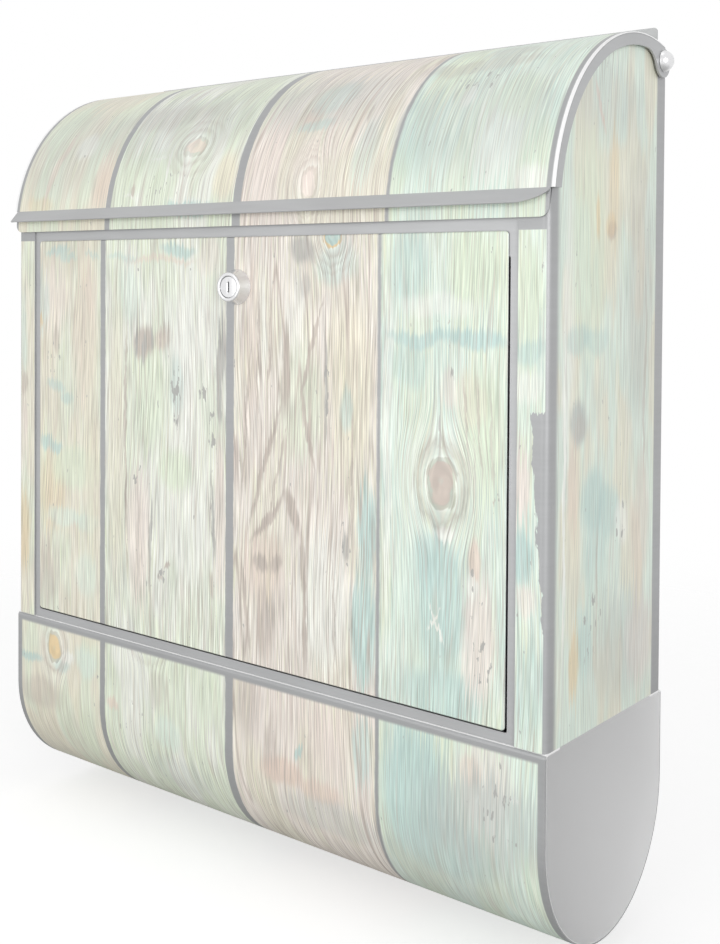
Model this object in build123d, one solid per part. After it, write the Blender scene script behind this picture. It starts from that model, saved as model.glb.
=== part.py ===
from build123d import *
import math
import os

# Wall mounted mailbox of folded sheet steel: a curved lid on two side pivots, a locked door
# that drops forward on two pins, and an open newspaper tube under the case.
# Millimetres. X runs along the wall, +Y points into the wall, +Z is up.
# Heights in this file start at the underside of the newspaper tube. The finished pieces are
# lowered by MOUNT_HEIGHT, so that the origin lies on the wall, amid the four wall holes.

# Case
SHEET = 1.0
BODY_WIDTH = 380.0
BODY_DEPTH = 130.0
FRONT_RETURN = 16.5
REAR_RETURN = 12.0
FRONT_BEND = 4.0
REAR_BEND = 2.5
FLOOR_RIM = 14.0
FLOOR_BEND = 1.8
FLOOR_CORNER = 4.0
SIDE_FIT = 0.3

# Newspaper tube
TUBE_HEIGHT = 110.0
TUBE_FLANGE = 14.0
TUBE_BEND = 2.5

# Door and its frame
DOOR_SIDE_GAP = 5.0
DOOR_HEIGHT = 237.0
DOOR_SILL = 6.0
DOOR_CORNER = 2.0
DOOR_EDGE = 0.6
DOOR_FIT = 0.2
DOOR_LAP = 12.0
DOOR_SIDE_PLAY = 0.8
FRAME_INSET = 5.0
FRAME_TOP_LAP = 9.0
FRAME_CORNER = 1.0
SILL_FIT = 0.3
SILL_FLANGE = 14.0
SLOT_FLANGE = 15.0
STRIKE_DEPTH = 11.5
STRIKE_HALF_LENGTH = 60.0

# Door hinge
HINGE_DEPTH = 5.0
HINGE_RISE = 16.0
PIN_DIAMETER = 3.0
PIN_HEAD = 6.0
PIN_HEAD_THICKNESS = 1.2
PIN_TAIL = 4.2
PIN_FIT = 0.05
PIN_HEAD_GAP = 0.5
PIN_END_GAP = 0.25
STIFFENER_LEG = 15.0
STIFFENER_DEPTH = 12.0
STIFFENER_INSET = 3.5
STIFFENER_END_GAP = 5.0
STIFFENER_CORNER = 4.0
LUG_SHEET = 1.5
LUG_GAP = 1.2
LUG_EDGE = 4.0
LUG_DEPTH = 11.5
LUG_FOOT = 12.0
LUG_CORNER = 3.0
LUG_FRONT_GAP = 0.5

# Lock
LOCK_DROP = 28.0
LOCK_COLLAR = 20.0
LOCK_NOSE = 16.0
LOCK_STAND_OFF = 8.0
LOCK_COLLAR_HEIGHT = 3.0
LOCK_COLLAR_EDGE = 1.2
LOCK_TAPER = 1.0
LOCK_NOSE_EDGE = 0.8
LOCK_SHANK = 16.0
LOCK_FLATS = 13.0
LOCK_LENGTH = 12.0
LOCK_FIT = 0.1
PLUG_DIAMETER = 12.0
PLUG_FIT = 0.05
PLUG_SINK = 0.4
PLUG_EDGE = 0.4
PLUG_SQUARE = 7.0
KEYWAY_WIDTH = 1.8
KEYWAY_LENGTH = 8.0
KEYWAY_DEPTH = 6.0
NUT_FLATS = 22.0
NUT_THICKNESS = 4.0
CAM_WIDTH = 14.0
CAM_REACH = 28.0
CAM_THICKNESS = 2.0
CAM_CLEARANCE = 0.4
CAM_SCREW = 4.0
CAM_SCREW_DEPTH = 7.0
CAM_SCREW_ROOM = 1.0
CAM_HEAD = 9.0
CAM_HEAD_THICKNESS = 3.0

# Lid
SKIRT_REVEAL = 6.0
LID_OVERHANG = 2.5
LID_RADIUS = 97.0
LID_GAP = 0.7
SKIRT_CORNER = 5.0
LIP_HEIGHT = 13.5
LIP_DROP = 6.5
LIP_REACH = 6.0
LIP_END_ROUND = 24.0
LIP_EDGE = 0.3
CHEEK_BAND = 6.5
CHEEK_FILLET = 14.0
ARCH_GAP = 2.0
RETURN_LAP = 6.0
UPSTAND = 9.0
UPSTAND_INSET = 5.5
UPSTAND_CORNER = 2.0

# Lid pivots
PIVOT_SETBACK = 11.0
ROLL_RADIUS = 8.0
ROLL_END_TILT = 10.0
ROLL_SIDE_GAP = 2.0
LOBE_RADIUS = 8.6
PIVOT_LAND = 5.5
PIVOT_SHOULDER = 6.0
PIVOT_SHANK = 5.0
PIVOT_FIT = 0.05
PIVOT_PLAY = 0.25
PIVOT_HEAD = 11.4
PIVOT_HEAD_HEIGHT = 5.0
SPACER_DIAMETER = 12.0
PIVOT_NUT_FLATS = 8.0
PIVOT_NUT_THICKNESS = 4.0
PIVOT_TAIL = 1.0

# Fasteners and wall holes
RIVET_DIAMETER = 4.0
RIVET_HEAD = 7.0
RIVET_HEAD_HEIGHT = 1.2
RIVET_TAIL_HEIGHT = 1.2
RIVET_FIT = 0.05
RIVET_SETBACK = 9.0
WALL_HOLE = 7.5
WALL_HOLE_SPACING_X = 260.0
WALL_HOLE_SPACING_Z = 160.0
MOUNT_HEIGHT = 240.0

# Places worked out from the sizes above
HALF_WIDTH = BODY_WIDTH / 2
LID_WIDTH = BODY_WIDTH + 2 * LID_OVERHANG
FRONT = -BODY_DEPTH
FRAME_FACE = FRONT + SHEET
FRAME_BACK = FRAME_FACE + SHEET
RETURN_EDGE = HALF_WIDTH - FRONT_RETURN
DOOR_WIDTH = 2 * (RETURN_EDGE - DOOR_SIDE_GAP)
FLOOR_TOP = TUBE_HEIGHT + SHEET
DOOR_BOTTOM = TUBE_HEIGHT + DOOR_SILL
DOOR_TOP = DOOR_BOTTOM + DOOR_HEIGHT
DOOR_FRONT = FRONT - DOOR_FIT
DOOR_BACK = DOOR_FRONT + SHEET
OPENING_HALF = DOOR_WIDTH / 2 + DOOR_SIDE_PLAY
OPENING_TOP = DOOR_TOP - DOOR_LAP
FRAME_TOP = DOOR_TOP + SKIRT_REVEAL + FRAME_TOP_LAP
SKIRT_BOTTOM = DOOR_TOP + SKIRT_REVEAL
LIP_LINE = SKIRT_BOTTOM + LIP_HEIGHT
CROWN = SKIRT_BOTTOM + LID_RADIUS
TOTAL_HEIGHT = CROWN + UPSTAND
LID_FRONT = FRONT - LID_GAP - SHEET
LID_CENTRE_Y = LID_FRONT + LID_RADIUS
PIVOT_Y = -PIVOT_SETBACK
# The roll at the lid's rear edge is centred on the pivots and runs smoothly out of the lid's curve
PIVOT_RISE = math.sqrt((LID_RADIUS - ROLL_RADIUS) ** 2 - (PIVOT_Y - LID_CENTRE_Y) ** 2)
PIVOT_Z = SKIRT_BOTTOM + PIVOT_RISE
ROLL_START = math.degrees(math.atan2(PIVOT_RISE, PIVOT_Y - LID_CENTRE_Y))
# The lid's curve starts below the skirt's edge, where the front view trims it
LID_START = 190.0
HINGE_Y = FRONT + HINGE_DEPTH
HINGE_Z = DOOR_BOTTOM + HINGE_RISE
# The door's lower edge swings in over the sill, on the wider of the two corners of its chamfer
DOOR_SWING = max(
    math.hypot(HINGE_DEPTH + DOOR_FIT - DOOR_EDGE, HINGE_RISE),
    math.hypot(HINGE_DEPTH + DOOR_FIT, HINGE_RISE - DOOR_EDGE))
OPENING_BOTTOM = HINGE_Z - DOOR_SWING - SILL_FIT
LOCK_Z = DOOR_TOP - LOCK_DROP
STIFFENER_OUTER = OPENING_HALF - STIFFENER_INSET
LUG_INNER = OPENING_HALF + LUG_GAP
SPACER_OUTER = LID_WIDTH / 2 - SHEET - PIVOT_PLAY
RIVET_HALF_SPACING = LUG_INNER + LUG_SHEET + LUG_FOOT / 2


def block(x_range, y_range, z_range):
    """A box between two corners."""
    spans = [high - low for low, high in (x_range, y_range, z_range)]
    middles = [(low + high) / 2 for low, high in (x_range, y_range, z_range)]
    return Pos(*middles) * Box(*spans)


def area(u_range, v_range):
    """A rectangle between two corners of a sketch."""
    (u_low, u_high), (v_low, v_high) = u_range, v_range
    return Pos((u_low + u_high) / 2, (v_low + v_high) / 2) * Rectangle(u_high - u_low, v_high - v_low)


def sector(y, z, reach, first, last):
    """A wedge about a centre between two directions, in degrees from +Y towards +Z."""
    count = math.ceil((last - first) / 60)
    turns = [math.radians(first + (last - first) * step / count) for step in range(count + 1)]
    rim = [(y + 2 * reach * math.cos(turn), z + 2 * reach * math.sin(turn)) for turn in turns]
    return make_face(Polyline((y, z), *rim, close=True))


def along_x(profile, x_range):
    """Extrude a (Y, Z) profile between two X values."""
    low, high = x_range
    return extrude(Plane.YZ.offset(low) * profile, high - low)


def along_y(profile, y_range):
    """Extrude an (X, Z) profile between two Y values."""
    low, high = y_range
    front_view = Plane(origin=(0, high, 0), x_dir=(1, 0, 0), z_dir=(0, -1, 0))
    return extrude(front_view * profile, high - low)


def rod_x(diameter, x_range, y, z):
    """A round bar along X."""
    return along_x(Pos(y, z) * Circle(diameter / 2), x_range)


def rod_z(diameter, x, y, z_range):
    """A round bar along Z."""
    low, high = z_range
    return Pos(x, y, (low + high) / 2) * Cylinder(diameter / 2, high - low)


def dome(diameter, height):
    """A round cap of a ball, flat side on the XY plane."""
    ball = (diameter * diameter / 4 + height * height) / (2 * height)
    cap = Pos(0, 0, height - ball) * Sphere(ball)
    return cap & block((-diameter, diameter), (-diameter, diameter), (0, height + diameter))


def hexagon(flats):
    """A hexagon given across its flats."""
    return RegularPolygon(flats / math.sqrt(3), 6)


def left_of(right_piece):
    """The left hand twin of a right hand piece."""
    return mirror(right_piece, about=Plane.YZ)


def rivet_holes(y, z_range):
    """Cutters for one pair of rivets, beside the hinge lugs."""
    right = rod_z(RIVET_DIAMETER + 2 * RIVET_FIT, RIVET_HALF_SPACING, y, z_range)
    return Part() + [right, left_of(right)]


FRONT_RIVETS_Y = FRONT + RIVET_SETBACK
REAR_RIVETS_Y = -RIVET_SETBACK


def newspaper_tube():
    """U shaped sheet, open at both ends, with two flanges turned in under the floor."""
    radius = BODY_DEPTH / 2
    belly = Pos(-radius, radius) * Circle(radius) & area((FRONT, 0), (0, radius))
    outer = area((FRONT, 0), (radius, TUBE_HEIGHT)) + belly
    outer = fillet(outer.vertices().sort_by(Axis.Y)[-2:], TUBE_BEND)
    inner = offset(outer, -SHEET)
    mouth = area((FRONT + TUBE_FLANGE, -TUBE_FLANGE), (TUBE_HEIGHT - 2 * SHEET, TUBE_HEIGHT + SHEET))
    tube = along_x(outer - inner - mouth, (-HALF_WIDTH, HALF_WIDTH))
    flange_span = (TUBE_HEIGHT - 2 * SHEET, TUBE_HEIGHT + SHEET)
    for y in (FRONT_RIVETS_Y, REAR_RIVETS_Y):
        tube -= rivet_holes(y, flange_span)
    return tube


def side_silhouette():
    """Side view of a side panel: straight walls, the arch under the lid and an ear at the pivot."""
    walls = area((FRONT, -SHEET), (TUBE_HEIGHT, SKIRT_BOTTOM + RETURN_LAP))
    arch = Pos(LID_CENTRE_Y, SKIRT_BOTTOM) * Circle(LID_RADIUS - SHEET - ARCH_GAP)
    arch = arch & area((FRONT, PIVOT_Y), (TUBE_HEIGHT, CROWN))
    column = area((PIVOT_Y - PIVOT_LAND, -SHEET), (TUBE_HEIGHT, PIVOT_Z - PIVOT_LAND / 2))
    ear = Pos(PIVOT_Y, PIVOT_Z) * Circle(PIVOT_LAND)
    return walls + arch + column + ear


def side_panel():
    """Right side wall, folded round to the front as a narrow return and to the back as a flange."""
    rear = -SHEET
    outer = area((RETURN_EDGE, HALF_WIDTH), (FRONT, rear))
    inner = area((RETURN_EDGE - SHEET, HALF_WIDTH - SHEET), (FRONT + SHEET, rear - SHEET))
    for low_end, bend in ((True, FRONT_BEND), (False, REAR_BEND)):
        pick = 0 if low_end else -1
        outer = fillet(outer.vertices().group_by(Axis.X)[-1].sort_by(Axis.Y)[pick], bend)
        inner = fillet(inner.vertices().group_by(Axis.X)[-1].sort_by(Axis.Y)[pick], bend - SHEET)
    spare = area((RETURN_EDGE - SHEET, HALF_WIDTH - REAR_RETURN), (rear - 2 * SHEET, rear + SHEET))
    plan = outer - inner - spare
    wall = extrude(Plane.XY.offset(TUBE_HEIGHT) * plan, CROWN - TUBE_HEIGHT)
    wall = wall & along_x(side_silhouette(), (0, BODY_WIDTH))
    hole = PIVOT_SHANK + 2 * PIVOT_FIT
    return wall - rod_x(hole, (HALF_WIDTH - 2 * SHEET, HALF_WIDTH + SHEET), PIVOT_Y, PIVOT_Z)


def back_panel():
    """Flat back with four wall holes. Its top edge stands up behind the lid."""
    half = HALF_WIDTH - UPSTAND_INSET
    plate = area((-half, half), (TUBE_HEIGHT, TOTAL_HEIGHT))
    plate = fillet(plate.vertices().sort_by(Axis.Y)[-2:], UPSTAND_CORNER)
    holes = GridLocations(WALL_HOLE_SPACING_X, WALL_HOLE_SPACING_Z, 2, 2) * Circle(WALL_HOLE / 2)
    for hole in holes:
        plate -= Pos(0, MOUNT_HEIGHT) * hole
    return along_y(plate, (-SHEET, 0))


def floor_tray():
    """Floor with its side rims folded up. The rims stop short of the frame and of the rear flanges."""
    half = HALF_WIDTH - SHEET - SIDE_FIT
    rear = -2 * SHEET
    rim_top = TUBE_HEIGHT + FLOOR_RIM
    outer = area((-half, half), (TUBE_HEIGHT, rim_top))
    outer = fillet(outer.vertices().group_by(Axis.Y)[0], FLOOR_BEND)
    inner = area((SHEET - half, half - SHEET), (FLOOR_TOP, rim_top + SHEET))
    inner = fillet(inner.vertices().group_by(Axis.Y)[0], FLOOR_BEND - SHEET)
    sides = along_y(outer - inner, (FRAME_FACE + FLOOR_CORNER, rear - FLOOR_CORNER))
    plate = area((FRAME_FACE, rear), (TUBE_HEIGHT, FLOOR_TOP))
    tray = sides + along_x(plate, (FLOOR_CORNER - half, half - FLOOR_CORNER))
    for y in (FRONT_RIVETS_Y, REAR_RIVETS_Y):
        tray -= rivet_holes(y, (TUBE_HEIGHT - SHEET, FLOOR_TOP + SHEET))
    return tray


def front_frame():
    """Frame behind the door: a pierced plate with a foot, a mail slot sill and a strike lip."""
    half = HALF_WIDTH - FRAME_INSET
    plate = area((-half, half), (FLOOR_TOP, FRAME_TOP))
    opening = area((-OPENING_HALF, OPENING_HALF), (OPENING_BOTTOM, OPENING_TOP))
    opening = fillet(opening.vertices(), FRAME_CORNER)
    frame = along_y(plate - opening, (FRAME_FACE, FRAME_BACK))
    frame += block((-half, half), (FRAME_FACE, FRAME_FACE + SILL_FLANGE), (FLOOR_TOP, FLOOR_TOP + SHEET))
    frame += block((-half, half), (FRAME_FACE, FRAME_FACE + SLOT_FLANGE), (FRAME_TOP - SHEET, FRAME_TOP))
    strike = (-STRIKE_HALF_LENGTH, STRIKE_HALF_LENGTH)
    frame += block(strike, (FRAME_FACE, FRAME_FACE + STRIKE_DEPTH), (OPENING_TOP, OPENING_TOP + SHEET))
    return frame - rivet_holes(FRONT_RIVETS_Y, (FLOOR_TOP - SHEET, FLOOR_TOP + 2 * SHEET))


def hinge_bracket():
    """Right hand hinge lug on its foot, riveted through the frame, the floor and the tube."""
    foot_bottom = FLOOR_TOP + SHEET
    lug_front = FRAME_BACK + LUG_FRONT_GAP
    lug_y = (lug_front, lug_front + LUG_DEPTH)
    lug = area(lug_y, (foot_bottom, HINGE_Z + PIN_DIAMETER / 2 + LUG_EDGE))
    lug = fillet(lug.vertices().sort_by(Axis.Y)[-2:], LUG_CORNER)
    lug -= Pos(HINGE_Y, HINGE_Z) * Circle(PIN_DIAMETER / 2 + PIN_FIT)
    outer = LUG_INNER + LUG_SHEET
    foot = block((LUG_INNER, outer + LUG_FOOT), lug_y, (foot_bottom, foot_bottom + LUG_SHEET))
    holes = rivet_holes(FRONT_RIVETS_Y, (foot_bottom - SHEET, foot_bottom + 2 * LUG_SHEET))
    return along_x(lug, (LUG_INNER, outer)) + foot - holes


def hinge_pin():
    """Right hand hinge pin, with its head inside the door's stiffener and its tail outside the lug."""
    inner = STIFFENER_OUTER - SHEET - PIN_END_GAP
    outer = LUG_INNER + LUG_SHEET
    head = rod_x(PIN_HEAD, (inner - PIN_HEAD_THICKNESS, inner), HINGE_Y, HINGE_Z)
    shank = rod_x(PIN_DIAMETER, (inner, outer), HINGE_Y, HINGE_Z)
    tail = rod_x(PIN_TAIL, (outer, outer + PIN_HEAD_THICKNESS), HINGE_Y, HINGE_Z)
    return head + shank + tail


def rivet(y, grip):
    """Right hand rivet: a flat head under the tube's flange and a tail that stands over its grip."""
    bottom = TUBE_HEIGHT - SHEET
    head = rod_z(RIVET_HEAD, RIVET_HALF_SPACING, y, (bottom - RIVET_HEAD_HEIGHT, bottom))
    shank = rod_z(RIVET_DIAMETER, RIVET_HALF_SPACING, y, (bottom, bottom + grip + RIVET_TAIL_HEIGHT))
    return head + shank


def door_panel():
    """Flat door skin with softened edges and a hole with two flats for the lock."""
    half = DOOR_WIDTH / 2
    skin = area((-half, half), (DOOR_BOTTOM, DOOR_TOP))
    skin = fillet(skin.vertices(), DOOR_CORNER)
    skin -= Pos(0, LOCK_Z) * double_flat(LOCK_SHANK + 2 * LOCK_FIT, LOCK_FLATS + 2 * LOCK_FIT)
    door = along_y(skin, (DOOR_FRONT, DOOR_BACK))
    rim = door.faces().sort_by(Axis.Y)[0].outer_wire().edges()
    return chamfer(rim, DOOR_EDGE)


def double_flat(diameter, flats):
    """A round outline with two flat sides."""
    return Circle(diameter / 2) & Rectangle(flats, diameter)


def door_stiffener():
    """Right hand angle on the back of the door. Its deep leg turns on the hinge pin."""
    bottom = DOOR_BOTTOM + SHEET
    top = OPENING_TOP - STIFFENER_END_GAP
    outer = STIFFENER_OUTER
    flat = block((outer - STIFFENER_LEG, outer), (DOOR_BACK, DOOR_BACK + SHEET), (bottom, top))
    leg = area((DOOR_BACK, DOOR_BACK + STIFFENER_DEPTH), (bottom, top))
    leg = fillet(leg.vertices().group_by(Axis.X)[-1], STIFFENER_CORNER)
    leg -= Pos(HINGE_Y, HINGE_Z) * Circle(PIN_DIAMETER / 2 + PIN_FIT)
    head_room = rod_x(PIN_HEAD + 2 * PIN_HEAD_GAP, (0, outer - SHEET), HINGE_Y, HINGE_Z)
    return along_x(leg, (outer - SHEET, outer)) + (flat - head_room)


# Lock pieces are drawn with the lock's axis along Z, pointing out of the door's face
LOCK_PLACE = Plane(origin=(0, DOOR_FRONT, LOCK_Z), x_dir=(1, 0, 0), z_dir=(0, -1, 0))
LOCK_REAR = -SHEET - LOCK_LENGTH
CAM_FRONT = LOCK_REAR - CAM_CLEARANCE
CAM_REAR = CAM_FRONT - CAM_THICKNESS


def lock_housing():
    """Lock barrel: a collar on the door's face, a tapered nose and a shank with two flats."""
    collar = Pos(0, 0, LOCK_COLLAR_HEIGHT / 2) * Cylinder(LOCK_COLLAR / 2, LOCK_COLLAR_HEIGHT)
    collar = chamfer(collar.edges().sort_by(Axis.Z)[-1], LOCK_COLLAR_EDGE)
    nose_height = LOCK_STAND_OFF - LOCK_COLLAR_HEIGHT
    nose = Cone(LOCK_NOSE / 2 + LOCK_TAPER, LOCK_NOSE / 2, nose_height)
    nose = Pos(0, 0, LOCK_COLLAR_HEIGHT + nose_height / 2) * nose
    nose = chamfer(nose.edges().sort_by(Axis.Z)[-1], LOCK_NOSE_EDGE)
    shank = extrude(double_flat(LOCK_SHANK, LOCK_FLATS), LOCK_REAR)
    bore = Cylinder(PLUG_DIAMETER / 2 + PLUG_FIT, 4 * (LOCK_LENGTH + LOCK_STAND_OFF))
    return LOCK_PLACE * (collar + nose + shank - bore)


def lock_plug():
    """Turning plug with a keyway in its face, and a square at its rear end for the cam."""
    face = LOCK_STAND_OFF - PLUG_SINK
    barrel = Pos(0, 0, CAM_FRONT) * extrude(Circle(PLUG_DIAMETER / 2), face - CAM_FRONT)
    barrel = chamfer(barrel.edges().sort_by(Axis.Z)[-1], PLUG_EDGE)
    square = Pos(0, 0, CAM_REAR) * extrude(Rectangle(PLUG_SQUARE, PLUG_SQUARE), CAM_THICKNESS)
    keyway = Pos(0, 0, face - KEYWAY_DEPTH) * extrude(Rectangle(KEYWAY_WIDTH, KEYWAY_LENGTH), KEYWAY_DEPTH)
    tapped = Pos(0, 0, CAM_REAR) * extrude(Circle(CAM_SCREW / 2 + PLUG_FIT), CAM_SCREW_DEPTH)
    return LOCK_PLACE * (barrel + square - keyway - tapped)


def lock_cam():
    """Flat cam on the plug's square. It lies sideways while the door is unlocked."""
    straight = CAM_REACH - CAM_WIDTH / 2
    plate = Circle(CAM_WIDTH / 2) + Pos(straight / 2, 0) * Rectangle(straight, CAM_WIDTH)
    plate += Pos(straight, 0) * Circle(CAM_WIDTH / 2)
    plate -= Rectangle(PLUG_SQUARE + 2 * PLUG_FIT, PLUG_SQUARE + 2 * PLUG_FIT)
    return LOCK_PLACE * (Pos(0, 0, CAM_REAR) * extrude(plate, CAM_THICKNESS))


def cam_screw():
    """Hexagon screw that holds the cam on the plug."""
    head = Pos(0, 0, CAM_REAR) * extrude(hexagon(CAM_HEAD), -CAM_HEAD_THICKNESS)
    shank = Pos(0, 0, CAM_REAR) * extrude(Circle(CAM_SCREW / 2), CAM_SCREW_DEPTH - CAM_SCREW_ROOM)
    return LOCK_PLACE * (head + shank)


def lock_nut():
    """Flat nut that clamps the lock to the door's skin."""
    ring = hexagon(NUT_FLATS) - Circle(LOCK_SHANK / 2 + LOCK_FIT)
    return LOCK_PLACE * (Pos(0, 0, -SHEET) * extrude(ring, -NUT_THICKNESS))


def lid_skin():
    """Round lid sheet, narrower at the skirt, with a roll about the pivots along its rear edge."""
    ring = Pos(LID_CENTRE_Y, SKIRT_BOTTOM) * (Circle(LID_RADIUS) - Circle(LID_RADIUS - SHEET))
    curve = ring & sector(LID_CENTRE_Y, SKIRT_BOTTOM, LID_RADIUS, ROLL_START, LID_START)
    half = LID_WIDTH / 2
    sheet = along_x(curve, (-half, half))
    skirt = area((-HALF_WIDTH, HALF_WIDTH), (SKIRT_BOTTOM, CROWN))
    skirt = fillet(skirt.vertices().sort_by(Axis.Y)[:2], SKIRT_CORNER)
    front_view = skirt + area((-half, half), (LIP_LINE, CROWN))
    sheet = sheet & along_y(front_view, (LID_FRONT, 0))
    ring = Pos(PIVOT_Y, PIVOT_Z) * (Circle(ROLL_RADIUS) - Circle(ROLL_RADIUS - SHEET))
    roll = ring & sector(PIVOT_Y, PIVOT_Z, ROLL_RADIUS, -ROLL_END_TILT, ROLL_START)
    roll_half = HALF_WIDTH - SHEET - ROLL_SIDE_GAP
    return sheet + along_x(roll, (-roll_half, roll_half))


def lid_lip():
    """Grip lip flared forward from the lid's front. Its right end is rounded off."""
    root_y = LID_CENTRE_Y - math.sqrt(LID_RADIUS ** 2 - LIP_HEIGHT ** 2)
    reach = math.hypot(LIP_REACH, LIP_DROP)
    slope = math.degrees(math.atan2(LIP_DROP, LIP_REACH))
    strip = area((-reach, reach), (-SHEET, 0))
    strip = fillet(strip.vertices().sort_by(Axis.X)[:2], LIP_EDGE)
    strip = Pos(root_y, LIP_LINE) * Rot(0, 0, slope) * strip
    strip -= Pos(LID_CENTRE_Y, SKIRT_BOTTOM) * Circle(LID_RADIUS)
    strip = strip & area((LID_FRONT - 2 * reach, LID_CENTRE_Y), (SKIRT_BOTTOM, LIP_LINE))
    lip = along_x(strip, (-HALF_WIDTH, HALF_WIDTH))
    end = HALF_WIDTH - LIP_END_ROUND
    front_view = area((-HALF_WIDTH, end), (SKIRT_BOTTOM, LIP_LINE))
    front_view += Pos(end, LIP_LINE) * Ellipse(LIP_END_ROUND, LIP_DROP + SHEET)
    return lip & along_y(front_view, (LID_FRONT - 2 * reach, 0))


def lid_cheek():
    """Right hand flange under the lid's edge, ending in a lobe round the pivot."""
    centre = Pos(LID_CENTRE_Y, SKIRT_BOTTOM)
    under = centre * Circle(LID_RADIUS - SHEET)
    band = under - centre * Circle(LID_RADIUS - CHEEK_BAND)
    band = band & sector(LID_CENTRE_Y, SKIRT_BOTTOM, LID_RADIUS, ROLL_START, LID_START)
    band = band & area((LID_FRONT, 0), (LIP_LINE, CROWN))
    band += Pos(PIVOT_Y, PIVOT_Z) * Circle(LOBE_RADIUS) & under
    corner = band.vertices().sort_by_distance((PIVOT_Y - LOBE_RADIUS, PIVOT_Z, 0))[0]
    band = fillet(corner, CHEEK_FILLET)
    band -= Pos(PIVOT_Y, PIVOT_Z) * Circle(PIVOT_SHOULDER / 2 + PIVOT_FIT)
    return along_x(band, (LID_WIDTH / 2 - SHEET, LID_WIDTH / 2))


def pivot_screw():
    """Right hand lid pivot: dome head, shoulder in the cheek and shank through the side panel."""
    head_seat = LID_WIDTH / 2 + PIVOT_PLAY
    inner_end = HALF_WIDTH - SHEET - PIVOT_NUT_THICKNESS - PIVOT_TAIL
    seat = Plane(origin=(head_seat, PIVOT_Y, PIVOT_Z), x_dir=(0, 1, 0), z_dir=(1, 0, 0))
    head = seat * dome(PIVOT_HEAD, PIVOT_HEAD_HEIGHT)
    shoulder = rod_x(PIVOT_SHOULDER, (SPACER_OUTER, head_seat), PIVOT_Y, PIVOT_Z)
    shank = rod_x(PIVOT_SHANK, (inner_end, SPACER_OUTER), PIVOT_Y, PIVOT_Z)
    return head + shoulder + shank


def pivot_spacer():
    """Washer that keeps the lid's cheek off the side panel."""
    ring = Circle(SPACER_DIAMETER / 2) - Circle(PIVOT_SHANK / 2 + PIVOT_FIT)
    return along_x(Pos(PIVOT_Y, PIVOT_Z) * ring, (HALF_WIDTH, SPACER_OUTER))


def pivot_nut():
    """Nut on the pivot's shank, inside the case."""
    ring = hexagon(PIVOT_NUT_FLATS) - Circle(PIVOT_SHANK / 2 + PIVOT_FIT)
    inner = HALF_WIDTH - SHEET
    return along_x(Pos(PIVOT_Y, PIVOT_Z) * ring, (inner - PIVOT_NUT_THICKNESS, inner))


def build_pieces():
    """Every piece of the mailbox by name."""
    pieces = {
        "newspaper_tube": newspaper_tube(),
        "back_panel": back_panel(),
        "floor_tray": floor_tray(),
        "front_frame": front_frame(),
        "door_panel": door_panel(),
        "lock_housing": lock_housing(),
        "lock_nut": lock_nut(),
        "lock_plug": lock_plug(),
        "lock_cam": lock_cam(),
        "cam_screw": cam_screw(),
        "lid_skin": lid_skin(),
        "lid_lip": lid_lip(),
    }
    hands = {
        "side_panel": side_panel(),
        "hinge_bracket": hinge_bracket(),
        "door_stiffener": door_stiffener(),
        "lid_cheek": lid_cheek(),
    }
    for name, right_piece in hands.items():
        pieces[name + "_right"] = right_piece
        pieces[name + "_left"] = left_of(right_piece)
    fasteners = {
        "front_rivets": rivet(FRONT_RIVETS_Y, 3 * SHEET + LUG_SHEET),
        "rear_rivets": rivet(REAR_RIVETS_Y, 2 * SHEET),
        "hinge_pins": hinge_pin(),
        "pivot_screws": pivot_screw(),
        "pivot_spacers": pivot_spacer(),
        "pivot_nuts": pivot_nut(),
    }
    for name, right_piece in fasteners.items():
        pieces[name] = Part() + [right_piece, left_of(right_piece)]
    return pieces


os.makedirs("parts", exist_ok=True)
for name, piece in build_pieces().items():
    export_step(Pos(0, 0, -MOUNT_HEIGHT) * piece, os.path.join("parts", name + ".step"))
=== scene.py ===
import math
from collections import namedtuple

import bmesh
import bpy
from mathutils import Matrix, Vector


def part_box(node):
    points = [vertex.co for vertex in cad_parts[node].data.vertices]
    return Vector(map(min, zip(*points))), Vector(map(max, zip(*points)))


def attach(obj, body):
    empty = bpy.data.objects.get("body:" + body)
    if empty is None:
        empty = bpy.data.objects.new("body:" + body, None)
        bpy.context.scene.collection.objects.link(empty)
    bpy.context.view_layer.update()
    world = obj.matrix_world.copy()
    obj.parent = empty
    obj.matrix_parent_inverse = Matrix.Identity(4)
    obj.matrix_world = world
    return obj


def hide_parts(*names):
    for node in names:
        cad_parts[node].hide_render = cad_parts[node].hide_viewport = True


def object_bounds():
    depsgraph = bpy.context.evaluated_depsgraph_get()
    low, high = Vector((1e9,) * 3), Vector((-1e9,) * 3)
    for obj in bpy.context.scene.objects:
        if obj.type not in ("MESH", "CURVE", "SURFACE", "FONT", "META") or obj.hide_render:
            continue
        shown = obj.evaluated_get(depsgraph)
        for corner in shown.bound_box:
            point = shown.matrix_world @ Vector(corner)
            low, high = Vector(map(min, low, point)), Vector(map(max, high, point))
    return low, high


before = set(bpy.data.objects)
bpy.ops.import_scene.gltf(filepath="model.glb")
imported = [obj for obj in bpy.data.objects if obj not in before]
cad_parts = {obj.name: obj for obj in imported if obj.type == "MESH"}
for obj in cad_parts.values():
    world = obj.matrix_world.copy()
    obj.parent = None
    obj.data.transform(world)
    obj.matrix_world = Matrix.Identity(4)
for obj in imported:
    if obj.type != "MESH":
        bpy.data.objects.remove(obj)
CAD_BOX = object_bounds()

bl_info = {
    "name": "Wall Mailbox Finish",
    "version": (1, 0, 0),
    "blender": (4, 5, 0),
    "location": "3D View > Sidebar > Mailbox",
    "description": "Dresses a wall mounted mailbox in a weathered plank film over grey steel sheet",
    "category": "Object",
}

MM = 0.001
PICTURE_WIDTH = 720
PICTURE_HEIGHT = 944
SENSOR_WIDTH = 36.0

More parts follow.
